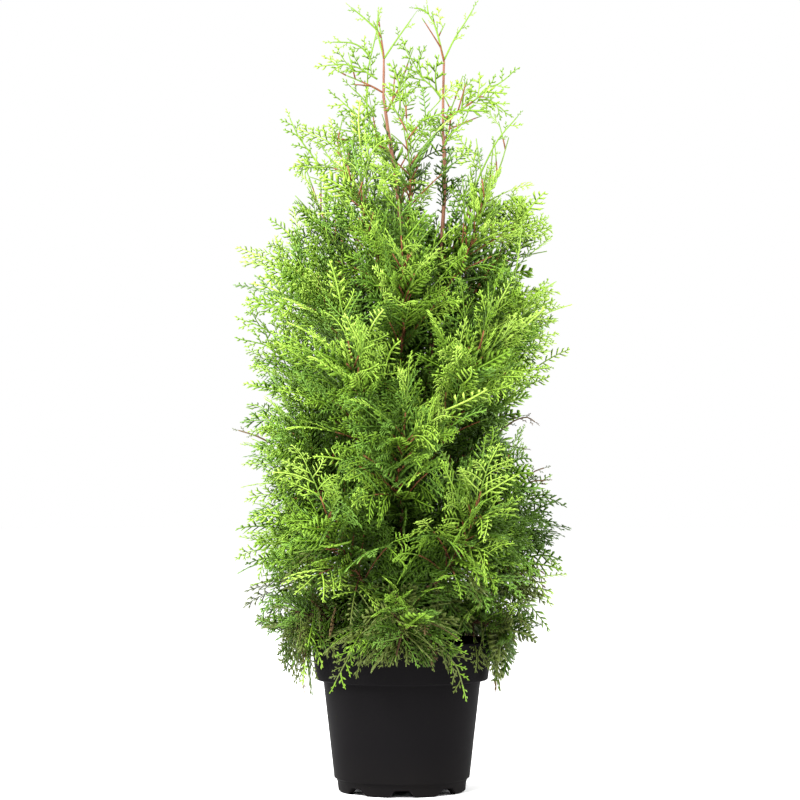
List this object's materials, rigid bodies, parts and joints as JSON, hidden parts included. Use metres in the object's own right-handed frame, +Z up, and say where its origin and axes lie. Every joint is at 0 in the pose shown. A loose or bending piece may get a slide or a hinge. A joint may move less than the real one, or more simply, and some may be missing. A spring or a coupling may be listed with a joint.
{
  "type": "potted thuja",
  "caption": "Slim young thuja with a forked leader and a dense crown of flat fern-like sprays, in a round tapered black nursery pot with a deep rim band.",
  "frame": {"origin": "middle of the pot's flat underside, level with the surface it stands on", "axes": "+Z up along the trunk, -Y towards the front, +X to the right with the second leader"},
  "size_m": [0.5055, 0.5094, 1.2125],
  "materials": {
    "pot": "satin",
    "compost": "matte",
    "bark": "matte",
    "foliage": "matte"
  },
  "bodies": {
    "root": {"pot": "pot", "compost": "compost", "trunk": "bark", "right_leader": "bark", "bough_skirt_1": "bark", "bough_skirt_2": "bark", "bough_skirt_3": "bark", "bough_skirt_4": "bark", "bough_skirt_5": "bark", "bough_low_1": "bark", "bough_low_2": "bark", "bough_low_3": "bark", "bough_low_4": "bark", "bough_low_5": "bark", "bough_lower_1": "bark", "bough_lower_2": "bark", "bough_lower_3": "bark", "bough_lower_4": "bark", "bough_lower_5": "bark", "foliage_skirt_1": "foliage", "foliage_skirt_2": "foliage", "foliage_skirt_3": "foliage", "foliage_skirt_4": "foliage", "foliage_skirt_5": "foliage", "foliage_low_1": "foliage", "foliage_low_2": "foliage", "foliage_low_3": "foliage", "foliage_low_4": "foliage", "foliage_low_5": "foliage", "foliage_lower_1": "foliage", "foliage_lower_2": "foliage", "foliage_lower_3": "foliage", "foliage_lower_4": "foliage", "foliage_lower_5": "foliage", "foliage_middle_1": "foliage", "foliage_middle_2": "foliage", "foliage_middle_3": "foliage", "foliage_middle_4": "foliage", "foliage_middle_5": "foliage", "foliage_upper_1": "foliage", "foliage_upper_2": "foliage", "foliage_upper_3": "foliage", "foliage_upper_4": "foliage", "foliage_upper_5": "foliage", "foliage_high_1": "foliage", "foliage_high_2": "foliage", "foliage_high_3": "foliage", "foliage_high_4": "foliage", "foliage_high_5": "foliage", "foliage_shoulder_1": "foliage", "foliage_shoulder_2": "foliage", "foliage_shoulder_3": "foliage", "foliage_shoulder_4": "foliage", "foliage_left_upper": "foliage", "foliage_left_comb": "foliage", "foliage_middle_top": "foliage", "foliage_right_upper": "foliage", "foliage_right_back": "foliage", "foliage_left_tip": "foliage", "foliage_right_tip": "foliage"}
  },
  "joints": []
}
